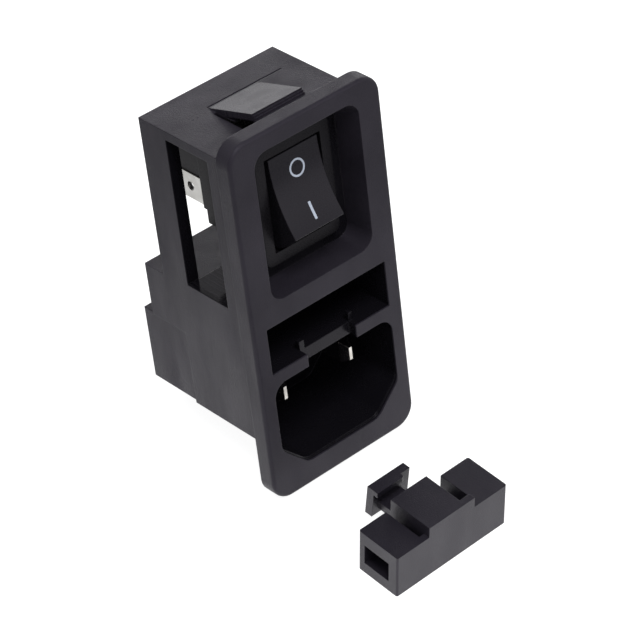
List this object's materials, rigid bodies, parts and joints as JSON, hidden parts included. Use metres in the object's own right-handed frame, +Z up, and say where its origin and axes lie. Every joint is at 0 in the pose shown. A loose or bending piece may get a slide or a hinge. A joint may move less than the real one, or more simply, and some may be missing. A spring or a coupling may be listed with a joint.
{
  "type": "power entry module",
  "caption": "Snap-in panel module that feeds mains to equipment through an appliance inlet, a rocker switch and a pull-out fuse drawer.",
  "frame": {"origin": "centre of the bezel's back face, on the panel's front plane, where the panel cut-out is centred", "axes": "+Z up along the bezel's long side, switch above and inlet below; +Y back through the panel; +X to the right seen from the front"},
  "size_m": [0.0302, 0.0656, 0.0708],
  "materials": {
    "black_plastic": "fine matte moulded thermoplastic",
    "switch_plastic": "satin moulded thermoplastic",
    "rocker_plastic": "satin moulded thermoplastic",
    "drawer_plastic": "fine matte moulded thermoplastic",
    "natural_nylon": "plain moulded nylon",
    "plated_pin": "nickel-plated brass",
    "plated_blade": "tin-plated brass",
    "copper_strip": "bare copper alloy",
    "silver_contact": "silver alloy rivet",
    "spring_steel": "drawn spring wire"
  },
  "bodies": {
    "module": {"housing": "black_plastic", "fuse_cover": "black_plastic", "inlet_cover": "black_plastic", "pin_live": "plated_pin", "pin_neutral": "plated_pin", "fuse_contact_in": "plated_pin", "fuse_contact_out": "plated_pin", "switch_body": "switch_plastic", "fixed_contacts": "silver_contact", "feed_terminal_left": "plated_blade", "feed_terminal_right": "plated_blade", "load_terminal_left": "plated_blade", "load_terminal_right": "plated_blade", "fuse_drawer": "drawer_plastic"},
    "rocker": {"rocker": "rocker_plastic", "plungers": "natural_nylon", "plunger_springs": "spring_steel"},
    "lever_left": {"lever_left": "copper_strip", "moving_contact_left": "silver_contact"},
    "lever_right": {"lever_right": "copper_strip", "moving_contact_right": "silver_contact"}
  },
  "joints": [
    {"name": "rocker_hinge", "type": "hinge", "parent": "module", "child": "rocker", "pos_m": [0, 0.00364, 0.017], "axis": [1, 0, 0], "range_deg": [0, 39]},
    {"name": "lever_left_hinge", "type": "hinge", "parent": "module", "child": "lever_left", "pos_m": [0, 0.0098, 0.017], "axis": [1, 0, 0], "range_deg": [-14, 0]},
    {"name": "lever_right_hinge", "type": "hinge", "parent": "module", "child": "lever_right", "pos_m": [0, 0.0098, 0.017], "axis": [1, 0, 0], "range_deg": [-14, 0]}
  ],
  "couplings": [
    {"joint": "lever_left_hinge", "follows": "rocker_hinge", "ratio": -0.35},
    {"joint": "lever_right_hinge", "follows": "rocker_hinge", "ratio": -0.35}
  ]
}
